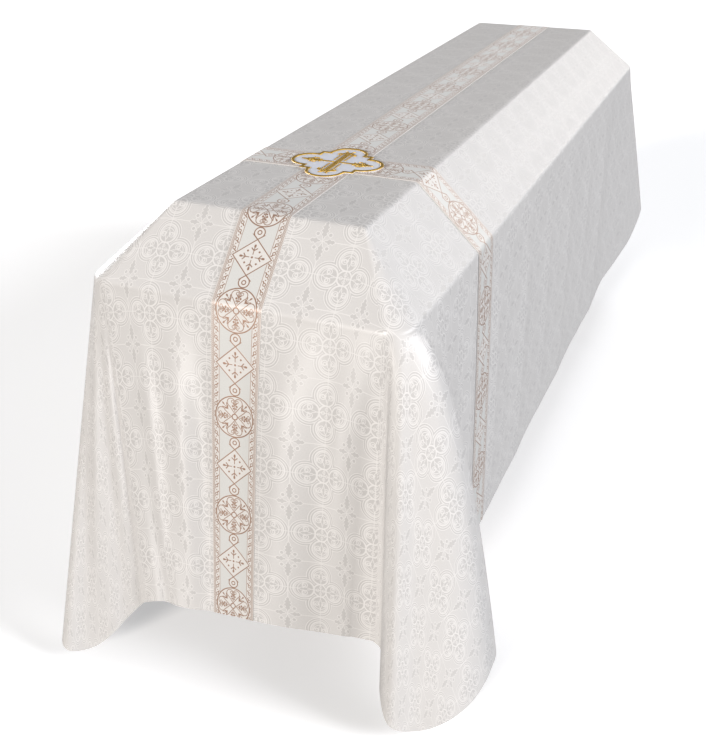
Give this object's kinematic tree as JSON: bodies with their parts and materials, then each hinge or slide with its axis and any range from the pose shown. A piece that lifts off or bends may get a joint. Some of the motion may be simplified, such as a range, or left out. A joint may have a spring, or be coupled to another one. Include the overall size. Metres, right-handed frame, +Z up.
{
  "type": "coffin drape over a coffin on a bier",
  "caption": "White brocade pall with woven galloon bands and an embroidered cross medallion, falling to near the floor over a hip-lidded coffin on a wooden bier.",
  "frame": {"origin": "on the floor, under the middle of the whole thing's box", "axes": "+Z up, +Y from the end with the medallion to the far end, +X to the right as seen from the medallion's end"},
  "size_m": [0.9324, 2.8118, 0.9216],
  "materials": {
    "brocade": "ivory damask, glossy ground, matte figure",
    "galloon": "pale silvery satin with copper-brown figures",
    "satin": "white satin",
    "gold_thread": "gold metallic embroidery",
    "coffin_wood": "satin varnished oak",
    "bier_wood": "oiled beech"
  },
  "bodies": {
    "root": {"drape": "brocade", "band_long": "galloon", "band_cross_right": "galloon", "band_cross_left": "galloon", "medallion_ground": "satin", "medallion_border": "gold_thread", "medallion_cross": "gold_thread", "coffin_lid": "coffin_wood", "coffin_body": "coffin_wood", "bier_leg_near_left": "bier_wood", "bier_leg_near_right": "bier_wood", "bier_leg_far_left": "bier_wood", "bier_leg_far_right": "bier_wood", "bier_rail_near": "bier_wood", "bier_rail_far": "bier_wood", "bier_rail_left": "bier_wood", "bier_rail_right": "bier_wood"}
  },
  "joints": []
}
